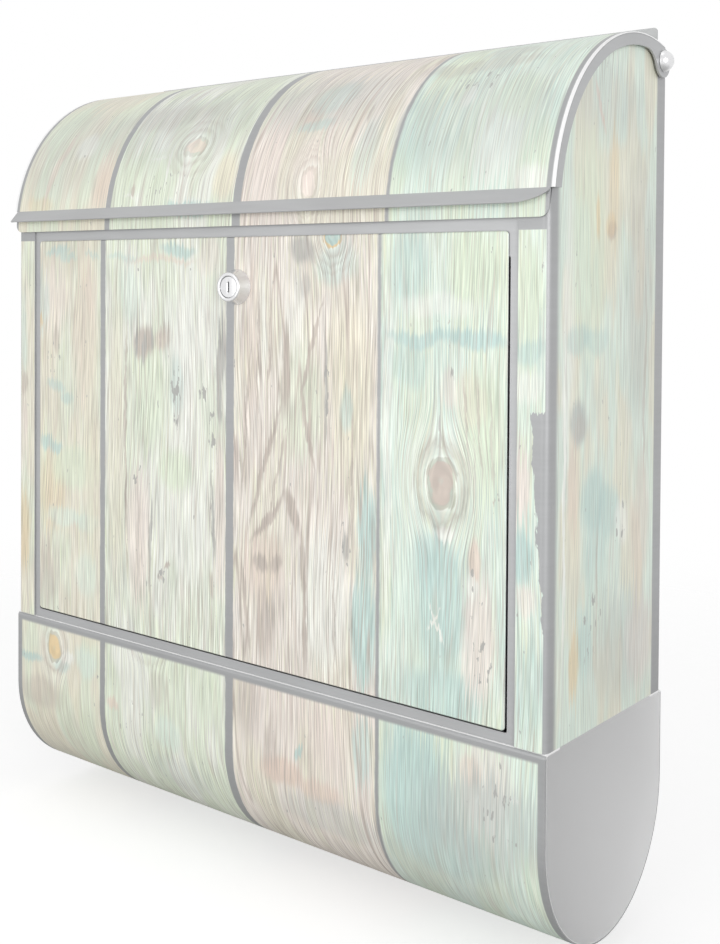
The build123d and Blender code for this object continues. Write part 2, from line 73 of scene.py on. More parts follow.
CASE_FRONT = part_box("side_panel_right")[0].y / MM
CASE_HALF_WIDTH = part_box("side_panel_right")[1].x / MM
STRIP_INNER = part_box("side_panel_right")[0].x / MM
DOOR_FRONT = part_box("door_panel")[0].y / MM
DOOR_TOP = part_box("door_panel")[1].z / MM
LID_HALF_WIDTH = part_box("lid_skin")[1].x / MM
LID_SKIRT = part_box("lid_skin")[0].z / MM
LID_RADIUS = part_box("lid_skin")[1].z / MM - LID_SKIRT
LID_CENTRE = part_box("lid_skin")[0].y / MM + LID_RADIUS
TUBE_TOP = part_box("newspaper_tube")[1].z / MM
TUBE_RADIUS = -CASE_FRONT / 2
TUBE_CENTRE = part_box("newspaper_tube")[0].z / MM + TUBE_RADIUS
TUBE_PRINT_END = -TUBE_RADIUS + 20.0


def tone(red, green, blue):
    """Linear colour of a shade given as it looks on a screen, each part from 0 to 255."""
    parts = [part / 255 for part in (red, green, blue)]
    return tuple(p / 12.92 if p <= 0.04045 else ((p + 0.055) / 1.055) ** 2.4 for p in parts)


# Layout of the printed planks, in millimetres: across the planks, and along them.
# A tilt leans a spot's length to the left, in degrees.
Stain = namedtuple("Stain", "colour across along half_width half_height strength tilt", defaults=(0.0,))
Knot = namedtuple("Knot", "core across along half_width half_height strength rings tilt rim rim_cover",
                  defaults=(0.0, "umber", 0.4))
Groove = namedtuple("Groove", "across width softness")
Plank = namedtuple("Plank", "right_edge tint wash warmth depth lines")
Tear = namedtuple("Tear", "edge lean top bottom")
Layout = namedtuple("Layout", "planks grooves knots stains flecks tears")

PLANKS = [
    Plank(-109.0, "straw", "sage", 0.6, 0.75, 0.3),
    Plank(-5.0, "sage", "chalk", 0.45, 1.0, 0.5),
    Plank(95.5, "blush", "straw", 0.65, 1.0, 1.0),
    Plank(1000.0, "mint", "sage", 0.05, 0.8, 0.3),
]
SOFT_PLANKS = [plank._replace(depth=0.7 * plank.depth) for plank in PLANKS]
GROOVES = [Groove(-109.0, 4.8, 0.4), Groove(-5.0, 6.2, 0.4), Groove(95.8, 3.4, 1.3)]

DOOR_PRINT = Layout(
    planks=PLANKS,
    grooves=GROOVES,
    knots=[
        Knot("clay", 133, -10, 9, 13, 0.95, 1),
        Knot("turquoise", 66, 112, 6, 7, 0.9, 3, rim="amber", rim_cover=1.0),
    ],
    stains=[
        Stain("umber", -150, 104, 27, 16, 0.2),
        Stain("peach", -126, 57, 13, 44, 0.5),
        Stain("blush", -154, 75, 14, 25, 0.5),
        Stain("amber", -157, -46, 15, 27, 0.4),
        Stain("umber", -161, -100, 11, 23, 0.45),
        Stain("sage", -134, -30, 22, 15, 0.7),
        Stain("mint", -145, -62, 17, 6, 0.6),
        Stain("mint", -124, -63, 11, 6, 0.5),
        Stain("mint", -124, -96, 11, 14, 0.5),
        Stain("straw", -119, -11, 7, 75, 0.5),
        Stain("turquoise", -151, 107, 12, 3, 0.7, 8),
        Stain("turquoise", -142, 103, 8, 3, 0.6),
        Stain("turquoise", -119, 103, 7, 2, 0.5),
        Stain("turquoise", -166, 75, 7, 19, 0.45),
        Stain("amber", -170, 61, 4, 6, 1.0),
        Stain("turquoise", -153, 21, 9, 4, 0.6),
        Stain("turquoise", -143, 15, 7, 4, 0.6),
        Stain("turquoise", -161, -15, 6, 5, 0.8),
        Stain("turquoise", -152, -18, 6, 4, 0.8),
        Stain("umber", -151.9, 50, 2.9, 9, 0.5),
        Stain("chalk", -162.6, 75, 1.3, 27, 0.5),
        Stain("umber", -116.2, -29, 0.8, 37, 0.4),
        Stain("chalk", -139.5, 38, 0.9, 38, 0.35),
        Stain("straw", -97, -9, 8, 92, 0.6),
        Stain("mint", -86, 82, 10, 18, 0.6),
        Stain("turquoise", -46, 107, 13, 4, 0.85),
        Stain("turquoise", -90, 102, 14, 2, 0.5),
        Stain("peach", -60, 101, 28, 2, 0.5),
        Stain("blush", -22, 102, 9, 11, 0.5),
        Stain("sage", -68, 17, 13, 32, 0.7),
        Stain("chalk", -42, 35, 10, 49, 0.9),
        Stain("chalk", -24, 55, 7, 34, 0.6),
        Stain("sage", -47, -21, 15, 13, 0.8),
        Stain("turquoise", -47, 26, 6, 18, 0.45),
        Stain("blush", -12, -47, 5, 44, 0.7),
        Stain("chalk", -35, -64, 16, 29, 0.6),
        Stain("blush", -78, -65, 11, 43, 0.8),
        Stain("chalk", -54, 59, 5, 23, 0.6),
        Stain("umber", -77.3, -70, 2.1, 30, 0.5),
        Stain("crack", -67.2, -66, 1.3, 27, 0.8),
        Stain("umber", -88.7, -8, 1, 79, 0.8),
        Stain("umber", -74, 52, 9, 11, 0.9),
        Stain("umber", -57, 53, 7, 8, 0.4),
        Stain("peach", -60, 52, 5, 6, 0.4),
        Stain("crack", -79.4, 51, 1.4, 10, 0.95),
        Stain("crack", -72.7, 49, 1.5, 12, 0.95),
        Stain("crack", -66.8, 54, 1.2, 8, 0.8),
        Stain("umber", -60.2, 53, 0.9, 8, 0.8),
        Stain("umber", -53.6, 53, 0.9, 7, 0.7),
        Stain("crack", -11, 52, 3.8, 20, 1.0),
        Stain("crack", -13, 41, 3, 16, 0.9),
        Stain("crack", -12.6, 20, 2.3, 15, 0.9),
        Stain("crack", -17.6, -48, 1, 26, 0.9, 2),
        Stain("umber", -18.2, -85, 2.3, 9, 0.7),
        Stain("umber", -53.9, -78, 2, 2, 0.9),
        Stain("umber", -59.6, -85, 2.5, 2, 0.7),
        Stain("umber", -88.6, -48, 1.3, 6, 0.7),
        Stain("peach", 11, 56, 7, 44, 0.35),
        Stain("chalk", 18, 62, 3.6, 33, 0.5),
        Stain("sage", 45, 25, 15, 35, 0.6),
        Stain("straw", 78, 38, 15, 48, 0.8),
        Stain("chalk", 42, 73, 7, 24, 0.5),
        Stain("turquoise", 68, 99, 14, 13, 0.6),
        Stain("crack", 45.5, 107, 9, 9, 0.85),
        Stain("crack", 48, 86, 3.4, 7, 0.45),
        Stain("umber", 35, 39, 3.5, 25, 0.85, -2),
        Stain("crack", 62.1, 31, 1.1, 32, 0.8),
        Stain("umber", 52.7, 52, 1.3, 29, 0.9, -16),
        Stain("umber", 50.3, 7, 1.5, 22, 0.9, 12),
        Stain("umber", 20.6, -12, 1.6, 38, 0.9, -18),
        Stain("umber", 6.8, 11, 1, 50, 0.8, -4),
        Stain("umber", 15.2, 50, 0.9, 39, 0.8),
        Stain("umber", 23.8, 56, 0.9, 33, 0.8, -2),
        Stain("umber", 29.8, -14, 0.9, 27, 0.7, -14),
        Stain("turquoise", 75, 23, 4, 12, 0.6),
        Stain("chalk", 60, -80, 17, 38, 0.8),
        Stain("peach", 19, -68, 14, 20, 0.6),
        Stain("umber", 22.9, -40, 2.3, 19, 1.0, -40),
        Stain("umber", 40, -36, 3.8, 13, 1.0, 22),
        Stain("umber", 47.4, -61, 2.3, 18, 0.9, 3),
        Stain("umber", 48.3, -96, 1.5, 25, 0.8),
        Stain("umber", 17, -66, 6, 5, 1.0),
        Stain("umber", 28, -65, 4, 6, 0.8),
        Stain("umber", 22, -99, 7, 22, 0.8),
        Stain("umber", 7.4, -92, 1.8, 30, 0.8, 8),
        Stain("crack", 75, -50, 2.2, 8, 0.8),
        Stain("umber", 79.2, -14, 0.8, 36, 0.7),
        Stain("umber", 68.2, -89, 0.8, 32, 0.6),
        Stain("turquoise", 89, -39, 6, 26, 1.0),
        Stain("turquoise", 87, -91, 9, 33, 1.0),
        Stain("sage", 150, 95, 16, 24, 0.9),
        Stain("turquoise", 113, 94, 13, 18, 0.45),
        Stain("chalk", 101, 8, 3, 91, 0.6),
        Stain("turquoise", 120, 61, 20, 4, 0.9),
        Stain("turquoise", 151, 62, 19, 5, 0.95),
        Stain("turquoise", 114, 49, 13, 12, 0.5),
        Stain("chalk", 131, 77, 23, 6, 0.5),
        Stain("sage", 155, 13, 12, 32, 0.9),
        Stain("straw", 149, 32, 10, 14, 0.5),
        Stain("blush", 137, 35, 5, 10, 0.5),
        Stain("turquoise", 133, -72, 17, 37, 0.8),
        Stain("turquoise", 129, -48, 13, 17, 0.85),
        Stain("mint", 114, -76, 8, 38, 0.6),
        Stain("turquoise", 133, -114, 25, 15, 0.75),
        Stain("chalk", 135, -33, 6, 4, 0.95),
        Stain("blush", 154, -83, 10, 32, 0.8),
        Stain("peach", 152, -46, 3.8, 13, 0.85),
        Stain("chalk", 150.5, -60, 2.7, 7, 0.7),
        Stain("crack", 138.5, 43, 1.5, 2, 1.0),
        Stain("umber", 136.6, 68, 0.8, 1, 0.8),
        Stain("crack", 132.5, 16, 0.9, 6, 0.9, 10),
        Stain("umber", 161, -15, 0.8, 1, 0.7),
        Stain("chalk", 131.1, -80, 0.8, 12, 0.95, 24),
        Stain("chalk", 129.3, -77, 0.8, 6, 0.95, -42),
        Stain("umber", 147.6, 17, 0.8, 29, 0.6, 4),
        Stain("umber", 154.7, 18, 0.8, 29, 0.6, 3),
        Stain("umber", 160.7, 14, 0.8, 24, 0.5, 2),
        Stain("umber", 151.1, -6, 0.8, 22, 0.5, -2),
    ],
    flecks=[
        Stain("crack", -47, 21, 6, 20, 1.0),
        Stain("crack", -26, 25, 5, 9, 1.0),
        Stain("crack", -18, 4, 3.8, 17, 0.9),
        Stain("crack", -17, -36, 5, 23, 0.5),
        Stain("crack", -60, -86, 17, 7, 0.6),
        Stain("crack", -77, -31, 7, 12, 0.6),
        Stain("crack", 62, 26, 3.9, 26, 0.7),
        Stain("crack", 76, -51, 5, 13, 0.8),
        Stain("crack", 152, -55, 5, 19, 0.7),
        Stain("crack", 156, -92, 8, 14, 0.7),
        Stain("crack", -154, 37, 10, 19, 0.5),
    ],
    tears=[],
)

STRIP_PRINT = Layout(
    planks=PLANKS,
    grooves=[],
    knots=[],
    stains=[
        Stain("sage", 179, 85, 9, 25, 0.8),
        Stain("turquoise", 180, 57, 8, 6, 0.6),
        Stain("chalk", 179, 41, 7, 8, 0.6),
        Stain("mint", 178, 28, 6, 9, 0.6),
        Stain("blush", 176, -6, 5, 19, 0.9),
        Stain("turquoise", 177, -42, 6, 14, 0.95),
        Stain("blush", 180, -61, 5, 7, 0.6),
        Stain("turquoise", 181, -102, 8, 25, 0.5),
        Stain("turquoise", -187, 55, 7, 29, 0.5),
        Stain("blush", -187, -10, 7, 24, 0.6),
        Stain("amber", -186, -76, 8, 29, 0.6),
        Stain("umber", -184, 20, 3, 8, 0.6),
    ],
    flecks=[],
    tears=[Tear(180.2, 0.075, 28.0, -73.0)],
)

LID_PRINT = Layout(
    planks=SOFT_PLANKS,
    grooves=GROOVES,
    knots=[
        Knot("peach", -47, 169, 9, 8, 0.6, 2),
        Knot("blush", 44, 141, 6, 10, 0.7, 6),
    ],
    stains=[
        Stain("peach", -165, 161, 3, 27, 0.7, -10),
        Stain("chalk", -144, 175, 11, 10, 0.7),
        Stain("peach", -118, 152, 8, 21, 0.6),
        Stain("sage", -179, 200, 27, 21, 0.6),
        Stain("amber", -173, 136, 14, 7, 0.35),
        Stain("umber", -84, 196, 37, 12, 0.35),
        Stain("umber", -45, 193, 14, 14, 0.3),
        Stain("turquoise", -42, 131, 19, 5, 0.8),
        Stain("straw", -16, 148, 9, 17, 0.9),
        Stain("sage", -79, 155, 19, 15, 0.6),
        Stain("chalk", -64, 156, 1, 16, 0.8),
        Stain("chalk", -73, 163, 10, 1, 0.7),
        Stain("chalk", -45, 135, 14, 1, 0.6),
        Stain("umber", -89.1, 142, 1.9, 5, 0.8),
        Stain("chalk", -91, 138, 9, 1, 0.6),
        Stain("peach", 34, 185, 7, 9, 0.8),
        Stain("turquoise", 39, 177, 13, 4, 0.6),
        Stain("turquoise", 42, 197, 15, 14, 0.5),
        Stain("umber", 72.6, 182, 0.9, 7, 0.8),
        Stain("blush", 12, 156, 10, 26, 0.6),
        Stain("blush", 41, 154, 11, 16, 0.6),
        Stain("turquoise", 77, 158, 8, 20, 0.4),
        Stain("sage", 0, 212, 20, 24, 0.4),
        Stain("turquoise", 105, 167, 13, 26, 0.45),
        Stain("chalk", 130, 187, 4, 9, 0.8),
        Stain("chalk", 155, 157, 13, 25, 0.6),
        Stain("chalk", 141.2, 170, 1.1, 26, 0.7),
        Stain("chalk", 175, 137, 10, 9, 0.7),
        Stain("umber", 124, 214, 37, 8, 0.35),
        Stain("sage", 158, 184, 13, 16, 0.6),
        Stain("umber", 136, 229, 15, 9, 0.3),
        # Painted shade: broad slate patches grey the print towards the lid's top, where less light falls.
        Stain("grey_stain_and_shade", 140, 173, 46, 35, 0.4),
        Stain("grey_stain_and_shade", 38, 196, 52, 25, 0.4),
        Stain("grey_stain_and_shade", -70, 187, 63, 31, 0.4),
        Stain("grey_stain_and_shade", -161, 175, 45, 39, 0.35),
    ],
    flecks=[
        Stain("crack", -66, 142, 17, 12, 0.5),
        Stain("crack", 130, 199, 25, 13, 0.4),
    ],
    tears=[],
)

TUBE_PRINT = Layout(
    planks=SOFT_PLANKS,
    grooves=GROOVES,
    knots=[
        Knot("amber", -154, -147, 7, 10, 0.95, 1),
        Knot("peach", -70, -122, 8, 8, 0.7, 2),
    ],
    stains=[
        Stain("turquoise", -178, -157, 13, 3, 0.8),
        Stain("turquoise", -147, -158, 7, 4, 0.7),
        Stain("chalk", -141, -153, 6, 4, 0.8),
        Stain("mint", -124, -151, 11, 10, 0.7),
        Stain("umber", -168, -179, 22, 11, 0.4),
        Stain("straw", -120, -130, 9, 9, 0.6),
        Stain("peach", -100, -173, 5, 4, 0.7),
        Stain("mint", -54, -180, 11, 10, 0.7),
        Stain("umber", -63, -155, 8, 12, 0.35),
        Stain("sage", -23, -152, 12, 20, 0.6),
        Stain("umber", 8, -139, 9, 30, 0.5),
        Stain("peach", 34, -179, 16, 8, 0.9),
        Stain("peach", 59, -183, 14, 7, 0.7),
        Stain("umber", 23.7, -165, 2.8, 19, 0.5),
        Stain("umber", 52.8, -162, 1.3, 27, 0.5),
        Stain("turquoise", 44.6, -165, 1.8, 6, 0.9, -24),
        Stain("blush", 66, -153, 14, 21, 0.6),
        Stain("turquoise", 87, -154, 6, 19, 0.7),
        Stain("turquoise", 118, -165, 21, 38, 0.9),
        Stain("turquoise", 138, -191, 24, 18, 0.6),
        Stain("blush", 159, -153, 16, 24, 0.6),
        Stain("mint", 177, -168, 9, 14, 0.5),
        Stain("chalk", 154.7, -161, 1.4, 1, 0.9),
        Stain("chalk", 174.5, -156, 2.6, 1, 0.8),
        Stain("peach", 150, -147, 7, 8, 0.5),
        # Painted shade: slate patches grey the print on the tube's right end and its lower curve, which turns away
        # from the light.
        Stain("grey_stain_and_shade", 156, -170, 38, 25, 0.6),
        Stain("grey_stain_and_shade", 129, -206, 42, 26, 0.35),
        Stain("grey_stain_and_shade", 63, -198, 37, 12, 0.35),
        Stain("grey_stain_and_shade", -49, -205, 26, 14, 0.3),
    ],
    flecks=[
        Stain("crack", 161, -159, 16, 24, 0.5),
        Stain("crack", -76, -176, 17, 19, 0.4),
    ],
    tears=[],
)

SIDE_PRINT = Layout(
    planks=[Plank(1000.0, "mint", "straw", 0.3, 0.5, 0.3)],
    grooves=[],
    knots=[],
    stains=[
        Stain("chalk", 20, 62, 8, 71, 0.6),
        Stain("straw", 26, 0, 7, 57, 0.6),
        # Painted highlight: this pale upright streak behind the front bend stands in for the bend's reflection.
        Stain("chalk", 15.9, -13, 1.6, 80, 1.0),
        Stain("sage", 40, 104, 21, 58, 0.6),
        Stain("amber", 67, 135, 6, 30, 0.5),
        Stain("turquoise", 29, 62, 14, 8, 0.55),
        Stain("turquoise", 49, 60, 14, 7, 0.5),
        Stain("grey_stain_and_shade", 30, 21, 9, 11, 0.8),
        Stain("umber", 32, 19, 5, 7, 0.4),
        Stain("peach", 25, -8, 6, 24, 0.55),
        Stain("turquoise", 47, -18, 14, 17, 0.7),
        Stain("turquoise", 63, -26, 14, 15, 0.6),
        Stain("turquoise", 50, -47, 13, 20, 0.6),
        Stain("mint", 55, -68, 18, 20, 0.7),
        Stain("umber", 51.7, -62, 1, 25, 0.5),
        Stain("umber", 105.7, 33, 1.5, 58, 0.6),
        Stain("blush", 100, -97, 17, 26, 0.7),
        Stain("umber", 98, 80, 15, 62, 0.3),
        Stain("amber", 27, -94, 5, 19, 0.7),
        Stain("chalk", 79, -32, 8, 12, 0.6),
        Stain("straw", 65, 110, 11, 35, 0.5),
        Stain("peach", 101, -35, 12, 37, 0.45),
        Stain("turquoise", 39, -85, 9, 20, 0.6),
        Stain("umber", 64, 116, 5, 5, 0.8),
        Stain("amber", 63, 119, 6, 7, 0.5),
        Stain("amber", 49.8, 122, 2.2, 13, 0.6),
        Stain("peach", 51, 174, 1.8, 14, 0.8, 24),
        # Painted shade: these broad slate patches grey the side's print low down, high up and towards the rear.
        Stain("grey_stain_and_shade", 98, 80, 22, 88, 0.2),
        Stain("grey_stain_and_shade", 79, -93, 35, 31, 0.4),
        Stain("grey_stain_and_shade", 61, 179, 45, 20, 0.35),
    ],
    flecks=[
        Stain("crack", 44, -76, 15, 20, 0.6),
        Stain("chalk", 79, -32, 11, 13, 0.6),
    ],
    tears=[],
)

# Colours across the grain's streaks, from the darkest streak to the palest and on to the far tint.
WARM_STREAKS = ((0.27, "umber"), (0.38, "peach"), (0.46, "blush"), (0.55, "chalk"), (0.63, "straw"), (0.74, "sage"))
COOL_STREAKS = ((0.27, "umber"), (0.36, "turquoise"), (0.45, "mint"), (0.55, "chalk"), (0.63, "sage"), (0.74, "straw"))


class Board:
    """Lays nodes into one tree: sockets are linked, and plain values are typed in."""

    def __init__(self, tree):
        self.tree = tree

    def feed(self, socket, value):
        if isinstance(value, bpy.types.NodeSocket):
            self.tree.links.new(value, socket)
        else:
            socket.default_value = value

    def node(self, kind, inputs=None, **settings):
        made = self.tree.nodes.new(kind)
        for name, value in settings.items():
            setattr(made, name, value)
        for name, value in (inputs or {}).items():
            self.feed(made.inputs[name], value)
        return made

    def math(self, operation, *values):
        made = self.node("ShaderNodeMath", dict(enumerate(values)), operation=operation)
        return made.outputs[0]

    def sway(self, value, amount, base=0.0):
        """A noise value turned into a number that swings about a base by up to half the amount."""
        return self.math("MULTIPLY_ADD", self.math("SUBTRACT", value, 0.5), amount, base)

    def ramp(self, value, start, end, top=1.0):
        """Smooth step that is 0 at start and top at end, whichever of them is the larger."""
        low, high = min(start, end), max(start, end)
        ends = (0.0, top) if start < end else (top, 0.0)
        inputs = {"Value": value, "From Min": low, "From Max": high, "To Min": ends[0], "To Max": ends[1]}
        return self.node("ShaderNodeMapRange", inputs, interpolation_type="SMOOTHSTEP").outputs[0]

    def band(self, value, low, high, soft):
        """1 between two values, fading to 0 outside them."""
        rising = self.ramp(value, low - soft, low)
        falling = self.ramp(value, high + soft, high)
        return self.math("MULTIPLY", rising, falling)

    def point(self, x, y, z=0.0):
        return self.node("ShaderNodeCombineXYZ", {"X": x, "Y": y, "Z": z}).outputs[0]

    def noise(self, vector, scale=1.0, detail=2.0, flat=False):
        inputs = {"Vector": vector, "Scale": scale, "Detail": detail}
        return self.node("ShaderNodeTexNoise", inputs, noise_dimensions="2D" if flat else "3D").outputs[0]

    def mix(self, factor, first, second):
        made = self.node("ShaderNodeMix", {0: factor, 6: first, 7: second}, data_type="RGBA")
        return made.outputs[2]

    def blend(self, factor, first, second):
        made = self.node("ShaderNodeMix", {0: factor, 2: first, 3: second}, data_type="FLOAT")
        return made.outputs[0]

    def brighten(self, colour, factor):
        made = self.node("ShaderNodeVectorMath", {0: colour, "Scale": factor}, operation="SCALE")
        return made.outputs[0]

    def shades(self, value, stops):
        """Colour and cover along a value, from stops of place, colour and cover."""
        made = self.node("ShaderNodeValToRGB", {"Fac": value})
        marks = made.color_ramp.elements
        marks.remove(marks[1])
        for index, (place, colour, cover) in enumerate(stops):
            mark = marks.new(place) if index else marks[0]
            mark.position = place
            mark.color = tuple(colour[:3]) + (cover,)
        return made.outputs["Color"], made.outputs["Alpha"]

    def spot(self, place, spot):
        """Place inside a spot, as shares of its half sizes, and the distance from its middle."""
        turn = math.radians(spot.tilt)
        if turn:
            sideways = Vector((math.cos(turn), math.sin(turn), 0.0)) / spot.half_width
            lengthways = Vector((-math.sin(turn), math.cos(turn), 0.0)) / spot.half_height
            shares = []
            for run in (sideways, lengthways):
                share = self.node("ShaderNodeVectorMath", {0: place, 1: run}, operation="DOT_PRODUCT").outputs["Value"]
                shares.append(self.math("SUBTRACT", share, run.x * spot.across + run.y * spot.along))
            inside = self.point(*shares)
        else:
            shrink = (1 / spot.half_width, 1 / spot.half_height, 0.0)
            shift = (-spot.across / spot.half_width, -spot.along / spot.half_height, 0.0)
            inputs = {0: place, 1: shrink, 2: shift}
            inside = self.node("ShaderNodeVectorMath", inputs, operation="MULTIPLY_ADD").outputs[0]
        reach = self.node("ShaderNodeVectorMath", {0: inside}, operation="LENGTH").outputs["Value"]
        return inside, reach

    def group(self, tree, **inputs):
        return self.node("ShaderNodeGroup", inputs, node_tree=tree).outputs


def new_group(name, inputs, outputs):
    """Empty shader group with number inputs. Outputs called Colour are colours."""
    tree = bpy.data.node_groups.new(name, "ShaderNodeTree")
    for label in inputs:
        tree.interface.new_socket(name=label, in_out="INPUT", socket_type="NodeSocketFloat")
    for label in outputs:
        kind = "NodeSocketColor" if label == "Colour" else "NodeSocketFloat"
        tree.interface.new_socket(name=label, in_out="OUTPUT", socket_type=kind)
    given = tree.nodes.new("NodeGroupInput").outputs
    result = tree.nodes.new("NodeGroupOutput").inputs
    return Board(tree), given, result


KNOT_REACH = 4.0
LONG_STAIN = 18.0


def knot_stops(knot, colours):
    """Colours of a knot from its middle outwards: core, thin rim, pale halo, then fading rings."""
    core, dark, pale = colours[knot.core], colours["umber"], colours["chalk"]
    rim, cover = colours[knot.rim], knot.rim_cover
    stops = [(0.0, core, 0.7), (0.05, core, 0.95), (0.175, core, 0.9), (0.2, rim, cover), (0.24, rim, cover),
             (0.265, pale, 0.6), (0.3, pale, 0.35)]
    step = 0.62 / (knot.rings + 1)
    for ring in range(knot.rings):
        fade = 0.5 - 0.5 * ring / (knot.rings + 1)
        stops += [(0.38 + step * ring, dark, fade), (0.38 + step * (ring + 0.4), pale, 0.5 * fade)]
    stops.append((0.38 + step * knot.rings, pale, 0.0))
    return [(place, colour, cover * knot.strength) for place, colour, cover in stops]


def make_plank_group(name, layout, colours):
    """Weathered painted planks: their colour, and a film mask that is 0 where steel shows."""
    board, given, result = new_group(name, ("across", "along"), ("Colour", "film"))
    across, along = given["across"], given["along"]
    place = board.point(across, along)

    def cloud(width, length, detail):
        """Noise in soft clouds of about this width and length."""
        where = board.point(board.math("DIVIDE", across, width), board.math("DIVIDE", along, length))
        return board.noise(where, detail=detail, flat=True)

    grain = board.sway(cloud(60.0, 190.0, 1.0), 15.0, across)
    reaches = []
    for knot in layout.knots:
        inside, reach = board.spot(place, knot)
        aside = board.node("ShaderNodeSeparateXYZ", {"Vector": inside}).outputs["X"]
        push = board.math("MULTIPLY", aside, board.ramp(reach, 3.4, 0.0, knot.half_width))
        grain = board.math("SUBTRACT", grain, push)
        reaches.append(reach)

    def streaks(width, length, detail, seed):
        """Noise drawn out along the grain, in streaks of about this width and length."""
        where = board.point(board.math("MULTIPLY_ADD", grain, 1 / width, seed),
                            board.math("MULTIPLY_ADD", along, 1 / length, seed))
        return board.noise(where, detail=detail, flat=True)

    fine = streaks(0.6, 26.0, 2.0, 3.1)
    tints = streaks(1.15, 60.0, 2.0, 17.7)
    growth = streaks(13.0, 420.0, 0.0, 41.3)
    flake = streaks(2.8, 9.0, 3.0, 59.9)
    hairs = streaks(0.75, 60.0, 2.0, 77.3)
    patches = cloud(20.0, 42.0, 2.0)
    clouds = cloud(23.0, 88.0, 2.0)
    washed = board.ramp(clouds, 0.44, 0.6, 0.85)

    first = layout.planks[0]
    colour, wash = colours[first.tint], colours[first.wash]
    warmth, depth, lines = first.warmth, first.depth, first.lines
    for left, right in zip(layout.planks, layout.planks[1:]):
        beyond = board.math("GREATER_THAN", across, left.right_edge)
        colour = board.mix(beyond, colour, colours[right.tint])
        wash = board.mix(beyond, wash, colours[right.wash])
        warmth = board.blend(beyond, warmth, right.warmth)
        depth = board.blend(beyond, depth, right.depth)
        lines = board.blend(beyond, lines, right.lines)

    warm = board.shades(tints, [(spot, colours[shade], 1.0) for spot, shade in WARM_STREAKS])[0]
    cool = board.shades(tints, [(spot, colours[shade], 1.0) for spot, shade in COOL_STREAKS])[0]
    streak = board.mix(warmth, cool, warm)
    colour = board.mix(board.math("MULTIPLY", depth, 0.5), board.mix(washed, colour, wash), streak)

    bent = board.sway(patches, 5.0, board.sway(flake, 2.5, across))
    frayed = board.point(bent, board.sway(fine, 26.0, board.sway(tints, 40.0, along)))
    nicked = board.point(bent, board.sway(clouds, 12.0, board.sway(fine, 6.0, board.sway(tints, 8.0, along))))
    for stain in layout.stains:
        tall = stain.half_height > LONG_STAIN and not stain.tilt
        reach = board.spot(frayed if tall else nicked, stain)[1]
        colour = board.mix(board.ramp(reach, 1.25, 0.6, stain.strength), colour, colours[stain.colour])
    colour = board.mix(board.math("MULTIPLY", depth, 0.16), colour, streak)
    ring = board.ramp(board.math("PINGPONG", growth, 0.07), 0.02, 0.0)
    ring = board.math("MULTIPLY", ring, board.math("MULTIPLY", lines, board.ramp(patches, 0.25, 0.6, 0.8)))
    colour = board.mix(ring, colour, colours["umber"])

    for knot, reach in zip(layout.knots, reaches):
        rough = board.sway(fine, 0.6, board.sway(flake, 0.7, reach))
        shade, cover = board.shades(board.math("DIVIDE", rough, KNOT_REACH), knot_stops(knot, colours))
        mottled = board.brighten(shade, board.sway(flake, 0.22, board.sway(patches, 0.3, 1.0)))
        colour = board.mix(cover, colour, mottled)

    strand = board.math("MULTIPLY", depth, board.ramp(hairs, 0.42, 0.3, 0.6))
    colour = board.mix(strand, colour, colours["umber"])
    swing = board.math("ADD", board.sway(fine, 1.15), board.sway(patches, 0.22))
    colour = board.brighten(colour, board.math("MULTIPLY_ADD", swing, depth, 1.02))

    wear = 0.0
    for zone in layout.flecks:
        wear = board.math("MAXIMUM", wear, board.ramp(board.spot(place, zone)[1], 1.4, 0.3, zone.strength))
    chips = board.math("MULTIPLY_ADD", wear, 0.24, flake)
    colour = board.mix(board.ramp(chips, 0.76, 0.8, 0.85), colour, colours["crack"])

    film = 1.0
    edge = board.sway(flake, 0.9, across)
    for groove in layout.grooves:
        low, high = groove.across - groove.width / 2, groove.across + groove.width / 2
        gap = board.band(edge, low + groove.softness, high - groove.softness, groove.softness)
        film = board.math("MULTIPLY", film, board.math("SUBTRACT", 1.0, gap))
    for tear in layout.tears:
        lean = board.math("MULTIPLY_ADD", board.math("SUBTRACT", tear.top, along), tear.lean, tear.edge)
        beyond = board.math("SUBTRACT", board.sway(flake, 5.0, across), lean)
        level = board.sway(flake, 9.0, along)
        torn = board.math("MULTIPLY", board.ramp(beyond, 0.0, 0.4), board.band(level, tear.bottom, tear.top, 0.5))
        film = board.math("MULTIPLY", film, board.math("SUBTRACT", 1.0, torn))

    board.feed(result["Colour"], colour)
    board.feed(result["film"], film)
    return board.tree


def new_material(name):
    """Material with a principled shader, and a board to lay its nodes on."""
    material = bpy.data.materials.new(name)
    material.use_nodes = True
    shader = next(n for n in material.node_tree.nodes if n.type == "BSDF_PRINCIPLED")
    return material, Board(material.node_tree), shader


def millimetre_place(board):
    """X, Y and Z of the surface in millimetres, riding with the piece."""
    place = board.node("ShaderNodeTexCoord").outputs["Object"]
    scaled = board.node("ShaderNodeVectorMath", {0: place, "Scale": 1 / MM}, operation="SCALE").outputs[0]
    parts = board.node("ShaderNodeSeparateXYZ", {"Vector": scaled}).outputs
    return scaled, parts["X"], parts["Y"], parts["Z"]


def sheet_shade(board, place, colour):
    """Colour of coated sheet: faint rolling streaks and clouds."""
    stretched = board.node("ShaderNodeVectorMath", {0: place, 1: (0.03, 0.03, 0.5)}, operation="MULTIPLY").outputs[0]
    streak = board.noise(stretched, detail=1.0)
    cloud = board.noise(place, scale=0.025, detail=2.0)
    return board.brighten(tuple(colour), board.sway(streak, 0.1, board.sway(cloud, 0.16, 1.0)))


